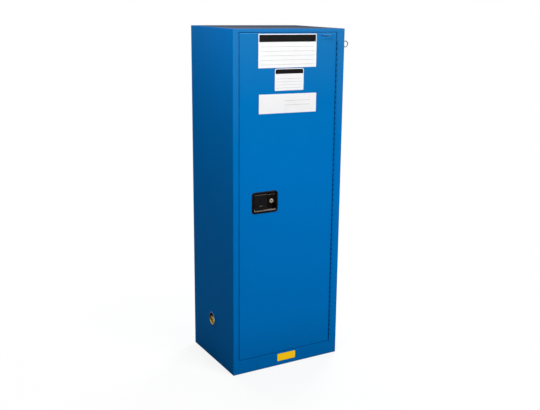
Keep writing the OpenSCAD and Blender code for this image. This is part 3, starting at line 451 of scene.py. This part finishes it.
# dust and painted light lie inside the handle's surround, not on its outer rim
bezel_low, bezel_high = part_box("handle_bezel")
rim = Vector((9 * MM, 0, 9 * MM))
black = moulding("black_moulding", lin(9, 4, 4), glint=0.3,
                 window=(bezel_low + rim, bezel_high - rim))
paddle_black = moulding("black_paddle", lin(20, 19, 19), grain=700.0, rough=0.3, glint=0.5,
                        round_edge=0.0045)
foot_black = rubber("foot_rubber")
natural = polyethylene("natural_polyethylene")
nylon = polyethylene("nylon_guides")

white_film = film("white_vinyl", lin(232, 232, 233), lin(216, 214, 210))
black_film = film("black_print", lin(14, 13, 14), lin(26, 25, 26), rough=0.34, spec=0.12)
grey_film = film("grey_print", lin(158, 160, 163), lin(140, 141, 142))
yellow_film = film("yellow_vinyl", lin(255, 206, 8), lin(255, 196, 8), spec=0.15)
# the vinyl glows a little: painted light, so that it looks as bright as fluorescent vinyl
yellow_film.p.inputs["Emission Color"].default_value = lin(255, 190, 0)
yellow_film.p.inputs["Emission Strength"].default_value = 0.14

BY_NODE = {
    blue: ["left_side", "right_side", "base_panel", "back_panel"],
    door_blue: ["door_outer_skin"],
    tab_paint: ["hold_open_tab"],
    door_leaf: ["door_hinge_leaf"],
    frame_leaf: ["frame_hinge_leaf"],
    left_socket: ["vent_socket_left"],
    right_socket: ["vent_socket_right"],
    ring_steel: ["hold_open_eye"],
    top_paint: ["top_panel"],
    inner_blue: ["inner_left_wall", "inner_right_wall", "inner_back_wall", "inner_ceiling",
                 "sump_pan", "door_inner_skin"],
    galvanised: ["lower_shelf", "middle_shelf", "upper_shelf", "shelf_clips", "latch_plate"],
    zinc: ["latch_strikes", "eye_nut", "grounding_nut", "flame_arrester_left",
           "flame_arrester_right", "foot_sockets", "latch_cam"],
    steel: ["hinge_pin", "cam_pivot", "handle_screws", "paddle_pin",
            "paddle_return_spring", "top_bolt", "bottom_bolt", "side_bolt"],
    lock_steel: ["lock_barrel"],
    plug_steel: ["key_plug"],
    brass: ["grounding_screw", "vent_plug_left", "vent_plug_right"],
    black: ["handle_bezel"],
    paddle_black: ["paddle"],
    foot_black: ["front_left_foot", "front_right_foot", "rear_left_foot", "rear_right_foot"],
    natural: ["lower_tray", "middle_tray", "upper_tray", "sump_tray"],
    nylon: ["rod_guides"],
    white_film: ["header_label", "middle_label", "lower_label"],
    yellow_film: ["base_sticker"],
}
for mat, names in BY_NODE.items():
    for name in names:
        data = NODES[name].data
        data.materials.clear()
        data.materials.append(mat.m)
left_over = set(NODES) - {n for names in BY_NODE.values() for n in names}
assert not left_over, left_over

# ---------------------------------------------------------------- print on the labels
BAND_THICK, RULE_THICK = 0.2 * MM, 0.15 * MM
ARC_STEPS = 6
WELD = 1e-6


def corner_arc(cx, cz, r, start):
    angles = (math.radians(start + 90 * i / ARC_STEPS) for i in range(ARC_STEPS + 1))
    return [(cx + r * math.cos(a), cz + r * math.sin(a)) for a in angles]


def outline(x0, x1, z0, z1, radii):
    """Closed outline. Radii in mm: low left, low right, high right, high left corner."""
    a, b, c, d = (r * MM for r in radii)
    return (corner_arc(x0 + a, z0 + a, a, 180) + corner_arc(x1 - b, z0 + b, b, 270)
            + corner_arc(x1 - c, z1 - c, c, 0) + corner_arc(x0 + d, z1 - d, d, 90))


def turned(shape, tilt, pivot):
    """The outline turned clockwise by tilt around pivot."""
    ct, st = math.cos(tilt), math.sin(tilt)
    return [(pivot[0] + (x - pivot[0]) * ct + (z - pivot[1]) * st,
             pivot[1] - (x - pivot[0]) * st + (z - pivot[1]) * ct) for x, z in shape]


def film_piece(name, shapes, y_face, thick, mat):
    """Thin print on a face of the door that looks along -Y: outlines in X and Z."""
    bm = bmesh.new()
    for shape in shapes:
        back = [bm.verts.new((x, y_face, z)) for x, z in shape]
        front = [bm.verts.new((x, y_face - thick, z)) for x, z in shape]
        bm.faces.new(front)
        bm.faces.new(list(reversed(back)))
        n = len(shape)
        for i in range(n):
            j = (i + 1) % n
            bm.faces.new((front[i], back[i], back[j], front[j]))
    bmesh.ops.remove_doubles(bm, verts=bm.verts, dist=WELD)
    bmesh.ops.recalc_face_normals(bm, faces=bm.faces)
    mesh = bpy.data.meshes.new(name)
    bm.to_mesh(mesh)
    bm.free()
    obj = bpy.data.objects.new(name, mesh)
    scene.collection.objects.link(obj)
    obj.data.materials.append(mat.m)
    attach(obj, "door")


def band(label, margin, lower_edge, radii):
    """Dark band along a label's top, with its lower edge so many mm below that top."""
    lo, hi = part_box(f"{label}_label")
    shape = outline(lo.x + margin * MM, hi.x - margin * MM,
                    hi.z - lower_edge * MM, hi.z - margin * MM, radii)
    film_piece(f"{label}_band", [shape], lo.y, BAND_THICK, black_film)


def rules(label, x0, x1, z_zero, heights, width, radius, tilt=0.0, pivot=(0.0, 0.0)):
    """Thin plain lines from x0 to x1, at heights in mm over z_zero."""
    shapes = [turned(outline(x0, x1, z_zero + k * MM, z_zero + (k + width) * MM, (radius,) * 4),
                     tilt, pivot) for k in heights]
    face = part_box(f"{label}_label")[0].y
    film_piece(f"{label}_rules", shapes, face, RULE_THICK, grey_film)


band("header", 4, 36, (0.5, 0.5, 0.5, 0.5))
lo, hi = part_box("header_label")
rules("header", lo.x + 12 * MM, hi.x - 12 * MM, lo.z, (14, 34, 54, 74, 94), 1.1, 0.3)

band("middle", 3, 24, (0.5, 0.5, 7, 7))
lo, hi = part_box("middle_label")
rules("middle", lo.x + 10 * MM, hi.x - 10 * MM, lo.z, (12, 26, 40, 54), 0.9, 0.2)

# the lower label was stuck on slightly askew
LOWER_TILT = math.radians(0.5)
lo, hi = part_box("lower_label")
mid = ((lo.x + hi.x) / 2, (lo.z + hi.z) / 2)
rules("lower", mid[0] - 20 * MM, mid[0] + 120 * MM, mid[1], (12, -8), 1.1, 0.3,
      LOWER_TILT, mid)

# ---------------------------------------------------------------- floor
FLOOR_HALF = 30.0
FLOOR_Z = -0.6 * MM
FLOOR_NEAR_WHITE = 0.82  # beside the object, so that its shadow shows
NEAR, FAR = 0.35, 1.6  # the floor turns pure white between these distances
FLOOR_LIT, FLOOR_SEEN = 0.3, 0.86  # its grey for the light it throws back, and as seen

bm = bmesh.new()
bmesh.ops.create_grid(bm, x_segments=8, y_segments=8, size=FLOOR_HALF)
mesh = bpy.data.meshes.new("studio_floor")
bm.to_mesh(mesh)
bm.free()
floor = bpy.data.objects.new("studio_floor", mesh)
floor.location = (0, 0, FLOOR_Z)
scene.collection.objects.link(floor)

floor_paint = bpy.data.materials.new("studio_floor")
g = Graph(floor_paint)
camera_ray = g.node("ShaderNodeLightPath").outputs["Is Camera Ray"]
away = g.vector("LENGTH", g.node("ShaderNodeTexCoord").outputs["Object"])
g.mix_shaders(g.times(camera_ray, g.ramp(away, NEAR, FAR, FLOOR_NEAR_WHITE, 1.0)),
              g.node("ShaderNodeBsdfDiffuse",
                     Color=g.ramp(camera_ray, 0.0, 1.0, FLOOR_LIT, FLOOR_SEEN)),
              g.node("ShaderNodeEmission", Color=WHITE, Strength=1.0),
              "ShaderNodeOutputMaterial")
floor.data.materials.append(floor_paint)

# ---------------------------------------------------------------- world and lamps
# White to the camera, in gloss and through glass, and faint as a light.
WORLD_LEVEL = 0.05
world = bpy.data.worlds.new("studio")
scene.world = world
g = Graph(world)
ray = g.node("ShaderNodeLightPath").outputs
shown = g.math("MAXIMUM", g.math("MAXIMUM", ray["Is Camera Ray"], ray["Is Glossy Ray"]),
               ray["Is Transmission Ray"])
g.mix_shaders(shown,
              g.node("ShaderNodeBackground", Color=WHITE, Strength=WORLD_LEVEL),
              g.node("ShaderNodeBackground", Color=WHITE, Strength=1.0),
              "ShaderNodeOutputWorld")


def softbox(name, place, target, size, power):
    data = bpy.data.lights.new(name, "AREA")
    data.shape = "RECTANGLE"
    data.size, data.size_y = size
    data.energy = power
    obj = bpy.data.objects.new(name, data)
    obj.location = place
    aim = (Vector(target) - Vector(place)).normalized()
    obj.rotation_euler = aim.to_track_quat("-Z", "Y").to_euler()
    scene.collection.objects.link(obj)


# name: place, target, size in metres, power in watts
LAMPS = {
    "front_high": ((0.9, -3.0, 3.2), (0.0, -0.2, 1.0), (1.8, 1.4), 113),
    "front_low": ((0.2, -3.6, 0.7), (0.0, -0.2, 0.5), (2.0, 1.0), 11.5),
    "left_near": ((-1.15, -0.7, 2.7), (-0.3, -0.1, 1.7), (0.7, 0.7), 28),
    "right_side": ((2.7, 2.2, 2.3), (0.3, 0.0, 0.9), (1.6, 1.6), 115),
    "back_side": ((-0.2, 3.5, 2.5), (0.0, 0.2, 0.9), (1.8, 1.8), 95),
}
for name, (place, target, size, power) in LAMPS.items():
    softbox(name, place, target, size, power)

# ---------------------------------------------------------------- camera
# Solved from the body's corners in the photograph, with a small lens shift.
CAMERA_AT = (-1.8919, -3.4615, 1.7751)
CAMERA_TURN = (30.9476, 13.7181, 0.9994)  # azimuth, downward tilt and roll, in degrees
LENS, SENSOR = 53.7455, 36.0
SHIFT = (-0.05, -0.014)

azimuth, elevation, roll = (math.radians(v) for v in CAMERA_TURN)
forward = Vector((math.sin(azimuth) * math.cos(elevation),
                  math.cos(azimuth) * math.cos(elevation), -math.sin(elevation)))
level = Vector((math.cos(azimuth), -math.sin(azimuth), 0))
above = level.cross(forward)
right = level * math.cos(roll) + above * math.sin(roll)
up = above * math.cos(roll) - level * math.sin(roll)
cam_data = bpy.data.cameras.new("camera")
cam_data.sensor_width = SENSOR
cam_data.lens = LENS
cam_data.shift_x, cam_data.shift_y = SHIFT
cam_data.clip_end = 100.0
camera = bpy.data.objects.new("camera", cam_data)
camera.matrix_world = Matrix((
    (right.x, up.x, -forward.x, CAMERA_AT[0]),
    (right.y, up.y, -forward.y, CAMERA_AT[1]),
    (right.z, up.z, -forward.z, CAMERA_AT[2]),
    (0, 0, 0, 1)))
scene.collection.objects.link(camera)
scene.camera = camera

scene.view_settings.view_transform = "Standard"
